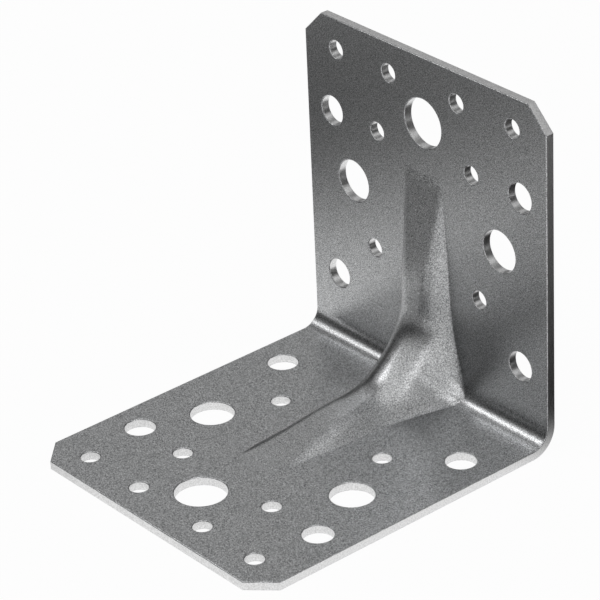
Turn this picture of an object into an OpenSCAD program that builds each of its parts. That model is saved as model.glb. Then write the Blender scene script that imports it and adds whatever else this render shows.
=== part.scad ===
// Ribbed angle bracket for timber joints, pressed and folded from one piece of galvanised sheet steel.
// X runs across the bracket, the flat leg lies along -Y and the upright leg stands along +Z.
// The origin is on the ground, in the middle of the bracket's footprint.

/* [Sheet] */
// Width of the bracket along the fold
bracket_w = 90; // [84:1:140]
// Length of the upright leg, from the outer corner to its free end
upright_leg = 97; // [92:1:150]
// Length of the flat leg, from the outer corner to its free end
flat_leg = 99; // [92:1:150]
// Thickness of the sheet
sheet_t = 2.5; // [1.5:0.1:3]
// Radius on the inside of the fold
fold_r = 5; // [2:0.1:6]
// Length cut from both edges at each free corner
corner_cut = 6.5; // [2:0.1:7]

/* [Rib] */
// Distance from the outer corner at which the rib has run out into the leg
rib_reach = 65; // [50:0.5:66]
// Height of the rib above each leg beside the corner
rib_rise = 5; // [2:0.1:6]
// Distance from the outer corner at which the crest's slope across the corner would meet each outer face
slope_reach = 29.5; // [25:0.5:34]
// Width of the crest beside the corner
crest_w = 9; // [8:0.1:12]
// Width of the crest in the middle of the fold
crest_fold_w = 10; // [8:0.1:14]
// Width of the crest where the rib runs out
crest_end_w = 12.4; // [10:0.1:12.8]
// Width of the rib's foot beside the corner
foot_w = 18.4; // [16:0.1:20]
// Width of the rib's foot at its point in the middle of the fold
foot_fold_w = 27.6; // [22:0.1:30]
// Width of the rib's foot where the rib runs out
foot_end_w = 13.8; // [13.4:0.1:16]
// Length over which the crest rounds into the flank, along each of the two
crest_round = 2.5; // [1.2:0.1:3]
// The same rounding in the middle of the fold, where the rib is highest and softest
crest_fold_round = 6; // [3:0.1:7]
// Length over which the flank turns into the leg, along each of the two
foot_round = 0.35; // [0.2:0.05:1]
// The same turn at the point of the foot, in the middle of the fold, along the fold
foot_fold_round = 1.6; // [0.4:0.1:2]
// And along the flank, which runs out softly there
flank_fold_round = 6; // [2:0.1:7]

/* [Holes] */
// Diameter of the nail holes
nail_d = 5.1; // [3:0.1:6]
// Diameter of the screw holes
screw_d = 8.2; // [6:0.1:9]
// Diameter of the bolt holes
bolt_d = 11.7; // [9:0.1:12]
// Diameter of the anchor bolt hole in the middle of each leg
anchor_d = 13.7; // [10:0.1:14]

/* [Hole rows] */
// Distance of the end row of nail holes from the leg's free end
end_row = 8.7; // [7:0.1:10]
// Spacing of the inner pair of nail holes in the end row
end_inner_span = 25.4; // [20:0.1:30]
// Distance of the outer pair of nail holes in the end row from the bracket's sides
end_outer_side = 12.1; // [10:0.1:15]
// Distance of the anchor bolt hole from the free end
anchor_row = 18.6; // [17:0.1:20]
// Distance of the second row, of two nail holes and two screw holes, from the free end
second_row = 27; // [25:0.1:29]
// Spacing of the nail holes in the second row
second_nail_span = 35.4; // [32:0.1:40]
// Distance of the screw holes in the second row from the bracket's sides
second_screw_side = 9.6; // [8:0.1:12]
// Distance of the row of two bolt holes from the free end
bolt_row = 45; // [43:0.1:47]
// Distance of the bolt holes from the bracket's sides
bolt_side = 17.3; // [15:0.1:19]
// Distance of the lone pair of nail holes beside the rib from the free end
rib_nail_row = 62; // [60:0.1:64]
// Spacing of the lone pair of nail holes
rib_nail_span = 40; // [39:0.1:44]
// Distance of the screw holes nearest the fold from the free end
fold_screw_row = 75.5; // [73:0.1:77]
// Distance of the screw holes nearest the fold from the bracket's sides
fold_screw_side = 10; // [8:0.1:12]

/* [Hidden] */
$fn = 96;

// Radius on the outside of the fold, which is also how far the fold reaches along each leg
fold_outer_r = fold_r + sheet_t;
// Round the corner the sections lie in planes through one line, this far from both outer faces
fan_c = slope_reach;
// Angle of the section at which the foot of the rib passes from the leg onto the fold
fold_start = atan((fan_c - fold_outer_r) / (fan_c - sheet_t));
// The rib is pressed in a strip of the sheet that is a little wider and longer than the rib
strip_margin = 1.5;
strip_half_w = foot_fold_w / 2 + foot_fold_round + strip_margin;
strip_reach = rib_reach + strip_margin;
// Length by which a cutting tool runs past the faces that it cuts
overcut = 1;

// Every row of holes in a leg is [distance from the free end, distance from the middle, diameter]
half_w = bracket_w / 2;
hole_rows = [
    [end_row, end_inner_span / 2, nail_d], [end_row, half_w - end_outer_side, nail_d],
    [anchor_row, 0, anchor_d],
    [second_row, second_nail_span / 2, nail_d], [second_row, half_w - second_screw_side, screw_d],
    [bolt_row, half_w - bolt_side, bolt_d],
    [rib_nail_row, rib_nail_span / 2, nail_d],
    [fold_screw_row, half_w - fold_screw_side, screw_d]];

// Sections through the rib along each leg, beside the fold on each leg, and round the fold
leg_steps = 10;
fan_steps = 8;
fold_steps = 12;
// Facets of each turn at the crest and at the foot
crest_facets = 6;
foot_facets = 5;
// The most of a flank that the turns at its crest and at its foot may take up
crest_share = 0.6;
foot_share = 0.35;
// The most of the crest that its turns may take up, which leaves a narrow flat between them
rounded_share = 0.95;
// How tightly the crest's lines turn into each other: a higher power is a tighter turn
turn_power = 12;

function ease(x) = x * x * (3 - 2 * x);
function mix(a, b, x) = a + (b - a) * x;
function unit(v) = v / norm(v);
// A point on the curve that leaves a towards b and arrives at c from b
function turned(a, b, c, x) = mix(mix(a, b, x), mix(b, c, x), x);

// Directions square to the fold, from that of the upright leg to that of the flat leg, and a point along one
fold_squares = [for (i = [0:fold_steps]) [cos(90 * i / fold_steps), sin(90 * i / fold_steps)]];
function fold_point(r, square) = [fold_outer_r, fold_outer_r] - r * square;

// Every section through the rib is [foot, up, square, rise, crest, base, crest turn, foot turn, flank turn].
// The foot is a point on the inside of the sheet, as depth from the upright leg's outer face and height.
// Up points from there to the crest, and square points squarely out of the sheet.
function leg_section(x, reach) = [
    [sheet_t, reach], [1, 0], [1, 0], rib_rise * ease(x),
    mix(crest_end_w, crest_w, x) / 2, mix(foot_end_w, foot_w, x) / 2,
    crest_round, foot_round, foot_round];

// How far the crest lies from the line that the sections turn about: it follows the nearest of three lines,
// one along each leg and the slope between them
function crest_distance(angle) =
    let (along_leg = fan_c - sheet_t - rib_rise, slope = slope_reach / sqrt(2))
    pow(pow(cos(angle) / along_leg, turn_power) + pow(sin(angle) / along_leg, turn_power)
        + pow(cos(45 - angle) / slope, turn_power), -1 / turn_power);

// Round the corner the rib grows wider and softer towards the middle of the fold
function fan_section(foot, square) =
    let (spoke = [fan_c, fan_c] - foot,
         angle = atan2(spoke.y, spoke.x),
         point = 1 - abs(cos(2 * angle)))
    [foot, unit(spoke), square, norm(spoke) - crest_distance(angle),
     mix(crest_w, crest_fold_w, pow(sin(2 * angle), 2)) / 2, mix(foot_w, foot_fold_w, point) / 2,
     mix(crest_round, crest_fold_round, sqrt(point)), mix(foot_round, foot_fold_round, point * point),
     mix(foot_round, flank_fold_round, sqrt(point))];

// The flat leg's sections are those of the upright leg with depth and height exchanged
function mirrored(section) = [for (i = [0:8]) i < 3 ? [section[i].y, section[i].x] : section[i]];

upright_sections = [
    leg_section(0, strip_reach),
    for (i = [0:leg_steps - 1]) let (x = i / leg_steps) leg_section(x, mix(rib_reach, fan_c, x)),
    for (i = [0:fan_steps - 1])
        fan_section([sheet_t, fan_c - (fan_c - sheet_t) * tan(fold_start * i / fan_steps)], [1, 0])];
fold_sections = [for (square = fold_squares) fan_section(fold_point(fold_r, square), square)];
rib_sections = concat(
    upright_sections, fold_sections,
    [for (i = [len(upright_sections) - 1:-1:0]) mirrored(upright_sections[i])]);

// Half of a section's outline from the crest outwards, as distance from the middle and height over the foot
function half_profile(section) =
    let (rise = section[3], crest = section[4], base = section[5],
         flank = norm([base - crest, rise]),
         down = [base - crest, -rise] / flank,
         crest_turn = min(section[6], crest_share * flank, rounded_share * crest),
         flank_turn = min(section[8], foot_share * flank))
    [for (i = [0:crest_facets])
         turned([crest - crest_turn, rise], [crest, rise], [crest, rise] + crest_turn * down,
                i / crest_facets),
     for (i = [0:foot_facets])
         turned([base, 0] - flank_turn * down, [base, 0], [base + section[7], 0], i / foot_facets),
     [strip_half_w, 0]];
function profile(section) =
    let (right = half_profile(section))
    [for (i = [len(right) - 1:-1:0]) [-right[i].x, right[i].y], for (p = right) p];

// Depth and height become -Y and +Z
function placed(x, side) = [x, -side.x, side.y];

profiles = [for (s = rib_sections) profile(s)];
rows = len(rib_sections);
columns = len(profiles[0]);
inner_points = [for (i = [0:rows - 1]) [for (p = profiles[i])
    placed(p.x, rib_sections[i][0] + p.y * rib_sections[i][1])]];

// Square to the sheet where it is flat or only folded, and square to the rib's own surface elsewhere
function square_at(i, j) =
    profiles[i][j].y == 0 ? placed(0, rib_sections[i][2]) :
    unit(cross(inner_points[i][j + 1] - inner_points[i][j - 1],
               inner_points[i - 1][j] - inner_points[i + 1][j]));
outer_points = [for (i = [0:rows - 1]) [for (j = [0:columns - 1])
    inner_points[i][j] - sheet_t * square_at(i, j)]];

// The sheet with its rib, as wide and long as the strip, of one thickness all over
module ribbed_strip() {
    function at(i, j, side) = (side * rows + i) * columns + j;
    function tile(a, b, c, d) = [[a, b, c], [a, c, d]];
    skins = [for (i = [0:rows - 2], j = [0:columns - 2]) each concat(
        tile(at(i, j, 0), at(i, j + 1, 0), at(i + 1, j + 1, 0), at(i + 1, j, 0)),
        tile(at(i, j, 1), at(i + 1, j, 1), at(i + 1, j + 1, 1), at(i, j + 1, 1)))];
    last = columns - 1;
    sides = [for (i = [0:rows - 2]) each concat(
        tile(at(i, 0, 0), at(i + 1, 0, 0), at(i + 1, 0, 1), at(i, 0, 1)),
        tile(at(i + 1, last, 0), at(i, last, 0), at(i, last, 1), at(i + 1, last, 1)))];
    ends = [for (j = [0:columns - 2]) each concat(
        tile(at(0, j + 1, 0), at(0, j, 0), at(0, j, 1), at(0, j + 1, 1)),
        tile(at(rows - 1, j, 0), at(rows - 1, j + 1, 0), at(rows - 1, j + 1, 1), at(rows - 1, j, 1)))];
    polyhedron(points = [for (side = [inner_points, outer_points]) for (row = side) each row],
               faces = concat(skins, sides, ends), convexity = 8);
}

// Section through the two legs and the fold between them, as depth and height
module folded_outline() {
    polygon([
        [0, upright_leg],
        for (square = fold_squares) fold_point(fold_outer_r, square),
        [flat_leg, 0], [flat_leg, sheet_t],
        for (i = [fold_steps:-1:0]) fold_point(fold_r, fold_squares[i]),
        [sheet_t, upright_leg]]);
}

module folded_sheet() {
    rotate([90, 0, -90]) linear_extrude(height = bracket_w, center = true) folded_outline();
}

// What is punched out of one leg: it lies along +Y from the outer corner, with its outer face down
module punched(leg) {
    depth = sheet_t + 2 * overcut;
    for (row = hole_rows, x = row.y == 0 ? [0] : [-row.y, row.y])
        translate([x, leg - row.x, -overcut]) cylinder(d = row.z, h = depth);
    for (x = [-half_w, half_w])
        translate([x, leg, -overcut]) linear_extrude(height = depth)
            rotate(45) square(corner_cut * sqrt(2), center = true);
}

module bracket() {
    color("darkgray") translate([0, flat_leg / 2, 0]) difference() {
        union() {
            difference() {
                folded_sheet();
                translate([-strip_half_w, -strip_reach, -overcut])
                    cube([2 * strip_half_w, strip_reach + overcut, strip_reach + overcut]);
            }
            ribbed_strip();
        }
        mirror([0, 1, 0]) punched(flat_leg);
        rotate([90, 0, 0]) punched(upright_leg);
    }
}

bracket();
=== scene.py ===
import math

import bmesh
import bpy
from mathutils import Matrix, Vector


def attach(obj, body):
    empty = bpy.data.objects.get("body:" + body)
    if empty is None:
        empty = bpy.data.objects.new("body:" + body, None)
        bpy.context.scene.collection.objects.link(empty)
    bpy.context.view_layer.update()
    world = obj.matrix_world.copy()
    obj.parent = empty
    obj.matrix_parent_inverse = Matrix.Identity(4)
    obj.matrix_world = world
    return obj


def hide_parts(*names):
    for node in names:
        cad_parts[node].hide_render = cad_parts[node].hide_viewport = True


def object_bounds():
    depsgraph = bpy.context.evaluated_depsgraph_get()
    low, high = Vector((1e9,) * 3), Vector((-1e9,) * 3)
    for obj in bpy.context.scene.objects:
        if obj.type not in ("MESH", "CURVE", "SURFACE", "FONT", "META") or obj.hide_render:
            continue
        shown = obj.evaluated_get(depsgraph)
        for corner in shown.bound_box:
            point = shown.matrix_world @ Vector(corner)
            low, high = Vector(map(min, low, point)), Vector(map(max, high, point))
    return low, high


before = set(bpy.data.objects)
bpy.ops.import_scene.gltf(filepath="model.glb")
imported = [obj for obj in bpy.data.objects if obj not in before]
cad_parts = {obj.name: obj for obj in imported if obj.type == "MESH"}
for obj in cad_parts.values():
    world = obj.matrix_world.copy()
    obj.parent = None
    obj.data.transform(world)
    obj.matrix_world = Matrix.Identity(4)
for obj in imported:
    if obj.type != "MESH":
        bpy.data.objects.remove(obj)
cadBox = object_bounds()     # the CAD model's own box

scene = bpy.context.scene
scene.view_settings.view_transform = "Standard"


def mm(value):
    return value / 1000


def degrees(value):
    return math.radians(value)


def colour(hexColour):
    # sRGB hex to the linear colour that a shader wants
    parts = [int(hexColour[i:i + 2], 16) / 255 for i in (1, 3, 5)]
    return [p / 12.92 if p < 0.04045 else ((p + 0.055) / 1.055) ** 2.4 for p in parts] + [1]


def addNode(tree, kind, links=(), **settings):
    # settings are the node's own properties or its input sockets, links are (socket, output socket) pairs;
    # a maths node's sockets share one name, so a fixed value there goes to its first
    node = tree.nodes.new(kind)
    for name, value in settings.items():
        if hasattr(node, name):
            setattr(node, name, value)
        else:
            node.inputs[name.replace("_", " ")].default_value = value
    for socket, source in links:
        tree.links.new(source, node.inputs[socket])
    return node


def newMaterial(name):
    material = bpy.data.materials.new(name)
    material.use_nodes = True
    tree = material.node_tree
    tree.nodes.clear()
    return material, tree


# the camera first: a long lens from the front right, looking down on the bracket
camera = {
    "azimuth": 50.64,                # degrees from straight on
    "elevation": 29.07,              # degrees above the floor
    "roll": -2.63,                   # degrees, the photo is held a little crooked
    "lookAt": (3.07, 1.68, 46.15),   # mm
    "distance": 847.5,               # mm
    "lens": 203.0,                   # mm
    "sensor": 36,                    # mm across
    "nearest": 10,                   # mm, nothing closer than this shows
}


def makeCamera():
    az, el = degrees(camera["azimuth"]), degrees(camera["elevation"])
    away = Vector((math.sin(az) * math.cos(el), -math.cos(az) * math.cos(el), math.sin(el)))
    lens = bpy.data.cameras.new("camera")
    lens.sensor_width = camera["sensor"]
    lens.lens = camera["lens"]
    lens.clip_start = mm(camera["nearest"])
    eye = bpy.data.objects.new("camera", lens)
    scene.collection.objects.link(eye)
    place = Vector(camera["lookAt"]) + away * camera["distance"]
    turn = away.to_track_quat("Z", "Y").to_matrix() @ Matrix.Rotation(degrees(camera["roll"]), 3, "Z")
    eye.matrix_world = Matrix.Translation(place / 1000) @ turn.to_4x4()
    scene.camera = eye


makeCamera()
print("camera placed")

# galvanised sheet: steel strip dipped in zinc and rolled matt, so it is a dull grey metal with a fine
# salt and pepper grain; its cut edges are bare steel, brighter than the zinc
sheet = {
    "foldReach": 7.5,             # mm that the fold takes from each leg, outside corner to flat
    "ribHalfWidth": 16.5,         # mm, the strip with the rib in it, which has no holes
    "ribReach": 67,               # mm from the outer corner along each leg
    "dieRoll": 0.32,              # mm, rounding that the punch and the shear leave round every cut edge
    "burrSide": 0.12,             # mm, the same on the outside of the angle, where the edge is sharper
    "rimFacets": 3,               # faces across such a rounding
    "sharpFrom": 35,              # degrees between two faces that meet in a sharp edge
    "broadFaces": 80,             # how far broad faces bend the shading of narrow ones, 50 is even
    "grain": 0.24,                # mm, the real 0.1 or so is too fine to show, so it is drawn coarser
    "zinc": "#e8e9ea",
    "zincDark": "#68696a",
    "zincSpread": (0.36, 0.64),   # the noise is all dark below the first and all light above the second
    "zincRoughness": 0.32,
    "zincBump": 0.2,
    "edgeGrain": 0.36,            # mm, the torn steel is coarser than the zinc
    "edgeSteel": "#fafafa",
    "edgeDark": "#d8d8d8",
    "edgeSpread": (0.35, 0.65),
    "edgeRoughness": 0.3,
    "edgeBump": 0.4,
    "bumpHeight": 0.03,           # mm
    "grainDetail": 2.0,
    "grainRoughness": 0.6,
}

# limits that tell one kind of face from another
faceLimits = {
    "weld": 0.001,                # mm, corners of loose triangles that are closer are the same corner
    "flat": 0.999999,             # how square to an axis a face in one of the flats is
    "flatTurn": 0.1,              # degrees between faces of one flat
    "wallTurn": 1,                # degrees between the two triangles of a wall's face
    "foldCut": 0.98,              # how far a cut face in the fold points along X
    "legCut": 0.2,                # how far a cut face in a leg leans to the leg's own skin, at most
}


def copyOfNode(nodeName, pieceName):
    piece = bpy.data.objects.new(pieceName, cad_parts[nodeName].data.copy())
    scene.collection.objects.link(piece)
    bpy.ops.object.select_all(action="DESELECT")
    piece.select_set(True)
    bpy.context.view_layer.objects.active = piece
    piece.data.materials.clear()
    return piece


def editMesh(piece, wanted, kind="FACE"):
    # opens edit mode with only the wanted faces or edges selected
    bpy.ops.object.mode_set(mode="EDIT")
    bpy.ops.mesh.select_mode(type=kind)
    bpy.ops.mesh.select_all(action="DESELECT")
    made = bmesh.from_edit_mesh(piece.data)
    for element in made.faces if kind == "FACE" else made.edges:
        if wanted(element):
            element.select_set(True)
    bmesh.update_edit_mesh(piece.data)


def closeMesh():
    bpy.ops.object.mode_set(mode="OBJECT")


def isAny(element):
    return True


def isCut(face):
    # a face that the shear or a punch made: it stands square to the leg that it is in
    at, n = face.calc_center_median() * 1000, face.normal
    depth = cadBox[1][1] * 1000 - at.y    # from the outer face of the upright leg
    if abs(at.x) < sheet["ribHalfWidth"] and max(depth, at.z) < sheet["ribReach"]:
        return False
    if max(depth, at.z) < sheet["foldReach"]:
        return abs(n.x) > faceLimits["foldCut"]
    return abs(n.y if at.z > depth else n.z) < faceLimits["legCut"]


def isFlat(face):
    return max(abs(part) for part in face.normal) > faceLimits["flat"]


def isInside(face):
    # on the skin that faces into the angle
    return not isCut(face) and face.normal.z > face.normal.y


def isOutside(face):
    return not isCut(face) and face.normal.z < face.normal.y


def isSharp(edge):
    return edge.calc_face_angle(0) > degrees(sheet["sharpFrom"])


def touches(element, wanted):
    return any(wanted(face) for face in element.link_faces)


def makeSheet():
    # the loose triangles become one skin, the flats lose those across them, and the walls turn to quads
    piece = copyOfNode("bracket", "folded_sheet")
    editMesh(piece, isAny)
    bpy.ops.mesh.remove_doubles(threshold=mm(faceLimits["weld"]))
    closeMesh()
    editMesh(piece, isFlat)
    bpy.ops.mesh.dissolve_limited(angle_limit=degrees(faceLimits["flatTurn"]))
    closeMesh()
    editMesh(piece, isCut)
    bpy.ops.mesh.tris_convert_to_quads(face_threshold=degrees(faceLimits["wallTurn"]),
                                       shape_threshold=math.pi)
    closeMesh()
    return piece


def roundRims(piece, onSide, radius):
    # rings of new faces go round every cut edge of one side, and sink to their places on a quarter circle
    steps = sheet["rimFacets"]
    turns = [degrees(90) * (steps - k) / steps for k in range(steps + 1)]
    editMesh(piece, onSide)
    for turn, nextTurn in zip(turns, turns[1:]):
        width = radius * (math.sin(turn) - math.sin(nextTurn))
        bpy.ops.mesh.inset(thickness=mm(width), use_even_offset=False)
    made = bmesh.from_edit_mesh(piece.data)
    ring = {v for v in made.verts if touches(v, isCut) and touches(v, onSide)}
    passed, sunk = set(), {}
    for turn in turns[:-1]:
        for v in ring:
            skin = sum((face.normal for face in v.link_faces if onSide(face)), Vector())
            sunk[v] = v.co - skin.normalized() * mm(radius) * (1 - math.cos(turn))
        passed |= ring
        beside = {edge.other_vert(v) for v in ring for edge in v.link_edges if touches(edge, onSide)}
        ring = beside - passed
    for v, place in sunk.items():
        v.co = place
    bmesh.update_edit_mesh(piece.data)
    closeMesh()


def modifier(piece, kind, **settings):
    made = piece.modifiers.new(kind.lower(), kind)
    for name, value in settings.items():
        setattr(made, name, value)
    bpy.ops.object.modifier_apply(modifier=made.name)


def shadeSheet(piece):
    editMesh(piece, isAny)
    bpy.ops.mesh.normals_make_consistent(inside=False)
    closeMesh()
    bpy.ops.object.shade_smooth_by_angle(angle=degrees(sheet["sharpFrom"]))
    # it leaves some of the short edges across the roundings smooth, so they are marked here
    editMesh(piece, isSharp, "EDGE")
    bpy.ops.mesh.mark_sharp()
    closeMesh()
    modifier(piece, "WEIGHTED_NORMAL", keep_sharp=True, weight=sheet["broadFaces"])


def mottled(tree, size, spread, dark, light):
    # noise of one size in mm, cut between two levels and coloured from dark to light
    place = addNode(tree, "ShaderNodeTexCoord")
    noise = addNode(tree, "ShaderNodeTexNoise", [("Vector", place.outputs["Object"])],
                    Scale=1000 / size, Detail=sheet["grainDetail"], Roughness=sheet["grainRoughness"])
    shades = addNode(tree, "ShaderNodeValToRGB", [("Fac", noise.outputs["Fac"])])
    for element, position, shade in zip(shades.color_ramp.elements, spread, (dark, light)):
        element.position = position
        element.color = colour(shade)
    return noise.outputs["Fac"], shades.outputs["Color"]


def metal(tree, shade, height, roughness, strength):
    bump = addNode(tree, "ShaderNodeBump", [("Height", height)],
                   Strength=strength, Distance=mm(sheet["bumpHeight"]))
    skin = addNode(tree, "ShaderNodeBsdfPrincipled",
                   [("Base Color", shade), ("Normal", bump.outputs["Normal"])],
                   Metallic=1.0, Roughness=roughness)
    addNode(tree, "ShaderNodeOutputMaterial", [("Surface", skin.outputs["BSDF"])])


def galvanisedSteel():
    # the zinc's crystals are rolled flat, so the surface is dull with a salt and pepper grain
    material, tree = newMaterial("galvanised steel, skin-passed matt")
    height, shade = mottled(tree, sheet["grain"], sheet["zincSpread"], sheet["zincDark"], sheet["zinc"])
    metal(tree, shade, height, sheet["zincRoughness"], sheet["zincBump"])
    return material


def shearedSteel():
    # bare steel where the shear and the punches went through: brighter than the zinc, rough where it tore
    material, tree = newMaterial("steel, sheared edge")
    height, shade = mottled(tree, sheet["edgeGrain"], sheet["edgeSpread"],
                            sheet["edgeDark"], sheet["edgeSteel"])
    metal(tree, shade, height, sheet["edgeRoughness"], sheet["edgeBump"])
    return material


def finishSheet(piece):
    # zinc all over, and bare steel on the cut faces
    piece.data.materials.append(galvanisedSteel())
    piece.data.materials.append(shearedSteel())
    editMesh(piece, isCut)
    piece.active_material_index = 1
    bpy.ops.object.material_slot_assign()
    closeMesh()


bracketSheet = makeSheet()
roundRims(bracketSheet, isInside, sheet["dieRoll"])
roundRims(bracketSheet, isOutside, sheet["burrSide"])
shadeSheet(bracketSheet)
finishSheet(bracketSheet)
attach(bracketSheet, "root")
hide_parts("bracket")
print("sheet finished:", len(bracketSheet.data.polygons), "faces")

# the studio: a white table, five soft boxes in a dim room and a small key on the left; the camera sees plain
# white round the bracket, and the metal sees the table, the boxes and the room
studio = {
    "floorSize": 4000,            # mm
    "floorDrop": 0.05,            # mm under the bracket, so that the two don't share a plane
    "paper": "#f2f2f2",
    "floorGlow": 0.96,            # share of plain white in what the camera sees of the floor
    "table": 0.86,                # brightness of the white table in the metal's reflections
    "distance": 0.66,             # the same further away
    "distanceFrom": 190,          # mm from the middle of the bracket
    "distanceOver": 260,          # mm
    "leftFade": (208, 30, 109, 0.11),   # towards, degrees from +X, begins at mm, over mm, how bright then
    "shadow": (38, 54, 32, 0.01),      # the same for the bracket's shadow behind its right side
    "shadowMiddle": 34,           # mm to the left of a line through the origin
    "shadowHalfWidth": 40,        # mm
    "shadowSoft": 30,             # mm
    "room": 0.05,                 # brightness of the walls between the soft boxes
    "softboxes": {                # direction, height, full to, gone at, all in degrees, and brightness
        "overhead": (-39, 68, 8, 63, 1.15),
        "right": (-18, 17, 3, 27, 1.6),
        "backLeft": (146, 38, 10, 27, 0.6),
        "backRight": (48, 46, 8, 20, 0.4),
        "frontLeft": (240, 47, 5, 18, 0.5),
    },
    "key": (210, 44),             # direction and height in degrees
    "keyDistance": 900,           # mm
    "keyAim": 30,                 # mm above the table
    "keySize": 280,               # mm
    "keyPower": 0.88,             # W
}


def towards(direction, height):
    a, e = degrees(direction), degrees(height)
    return Vector((math.cos(a) * math.cos(e), math.sin(a) * math.cos(e), math.sin(e)))


def maths(tree, operation, *links, **settings):
    return addNode(tree, "ShaderNodeMath", links, operation=operation, **settings).outputs[0]


def mapped(tree, source, begin, end, low, high):
    return addNode(tree, "ShaderNodeMapRange", [("Value", source)], interpolation_type="SMOOTHSTEP",
                   From_Min=begin, From_Max=end, To_Min=low, To_Max=high).outputs["Result"]


def along(tree, place, direction):
    # how far a place lies in a direction
    return addNode(tree, "ShaderNodeVectorMath", [(1, place)], operation="DOT_PRODUCT",
                   Vector=direction).outputs["Value"]


def fadeTo(tree, level, amount, value):
    # the level goes to the value as the amount goes from 0 to 1
    gap = maths(tree, "SUBTRACT", (1, level), Value=value)
    return maths(tree, "MULTIPLY_ADD", (0, gap), (1, amount), (2, level))


def tableInMetal(tree):
    # how bright the metal sees the table: white under the bracket, darker towards the front left,
    # duller further off, and dark in the bracket's own shadow
    place = addNode(tree, "ShaderNodeTexCoord").outputs["Object"]
    direction, begin, over, dark = studio["leftFade"]
    level = mapped(tree, along(tree, place, towards(direction, 0)), mm(begin), mm(begin + over),
                   studio["table"], dark)
    away = addNode(tree, "ShaderNodeVectorMath", [(0, place)], operation="LENGTH").outputs["Value"]
    begin, over = studio["distanceFrom"], studio["distanceOver"]
    level = fadeTo(tree, level, mapped(tree, away, mm(begin), mm(begin + over), 0, 1), studio["distance"])
    direction, begin, over, dark = studio["shadow"]
    behind = mapped(tree, along(tree, place, towards(direction, 0)), mm(begin), mm(begin + over), 0, 1)
    leftwards = along(tree, place, towards(direction + 90, 0))
    offMiddle = maths(tree, "SUBTRACT", (1, leftwards), Value=mm(studio["shadowMiddle"]))
    aside = maths(tree, "ABSOLUTE", (0, offMiddle))
    width = studio["shadowHalfWidth"]
    within = mapped(tree, aside, mm(width), mm(width + studio["shadowSoft"]), 1, 0)
    return fadeTo(tree, level, maths(tree, "MULTIPLY", (0, behind), (1, within)), dark)


def seenStraight(tree, rays):
    # 1 for what the camera sees itself or through something clear
    return maths(tree, "MAXIMUM", (0, rays["Is Camera Ray"]), (1, rays["Is Transmission Ray"]))


def makeFloor():
    bpy.ops.object.select_all(action="DESELECT")
    bpy.ops.mesh.primitive_plane_add(size=mm(studio["floorSize"]), location=(0, 0, -mm(studio["floorDrop"])))
    floor = bpy.context.object
    floor.name = "floor"
    bpy.ops.object.transform_apply(location=True)
    material, tree = newMaterial("matt white paper")
    rays = addNode(tree, "ShaderNodeLightPath").outputs
    paper = addNode(tree, "ShaderNodeBsdfDiffuse", Color=colour(studio["paper"]))
    white = addNode(tree, "ShaderNodeEmission", Strength=1.0)
    reflected = addNode(tree, "ShaderNodeEmission", [("Strength", tableInMetal(tree))])
    glow = maths(tree, "MULTIPLY", (1, seenStraight(tree, rays)), Value=studio["floorGlow"])
    seen = addNode(tree, "ShaderNodeMixShader", [(0, glow), (1, paper.outputs[0]), (2, white.outputs[0])])
    surface = addNode(tree, "ShaderNodeMixShader",
                      [(0, rays["Is Glossy Ray"]), (1, seen.outputs[0]), (2, reflected.outputs[0])])
    addNode(tree, "ShaderNodeOutputMaterial", [("Surface", surface.outputs[0])])
    material.cycles.emission_sampling = "NONE"
    floor.data.materials.append(material)


def makeWorld():
    world = bpy.data.worlds.new("studio")
    scene.world = world
    world.use_nodes = True
    tree = world.node_tree
    tree.nodes.clear()
    rays = addNode(tree, "ShaderNodeLightPath").outputs
    place = addNode(tree, "ShaderNodeTexCoord").outputs["Generated"]
    level = None
    for direction, height, full, gone, brightness in studio["softboxes"].values():
        facing = along(tree, place, towards(direction, height))
        box = mapped(tree, facing, math.cos(degrees(gone)), math.cos(degrees(full)), 0, brightness)
        if level:
            level = maths(tree, "ADD", (0, box), (1, level))
        else:
            level = maths(tree, "ADD", (1, box), Value=studio["room"])
    room = addNode(tree, "ShaderNodeBackground", [("Strength", level)])
    white = addNode(tree, "ShaderNodeBackground", Strength=1.0)
    surface = addNode(tree, "ShaderNodeMixShader",
                      [(0, seenStraight(tree, rays)), (1, room.outputs[0]), (2, white.outputs[0])])
    addNode(tree, "ShaderNodeOutputWorld", [("Surface", surface.outputs[0])])
    world.cycles.sampling_method = "NONE"


def makeKey():
    lamp = bpy.data.lights.new("key", "AREA")
    lamp.shape = "DISK"
    lamp.size = mm(studio["keySize"])
    lamp.energy = studio["keyPower"]
    key = bpy.data.objects.new("key", lamp)
    scene.collection.objects.link(key)
    toKey = towards(*studio["key"])
    place = Vector((0, 0, mm(studio["keyAim"]))) + toKey * mm(studio["keyDistance"])
    key.matrix_world = Matrix.Translation(place) @ toKey.to_track_quat("Z", "Y").to_matrix().to_4x4()


makeFloor()
makeWorld()
makeKey()
print("studio lit")
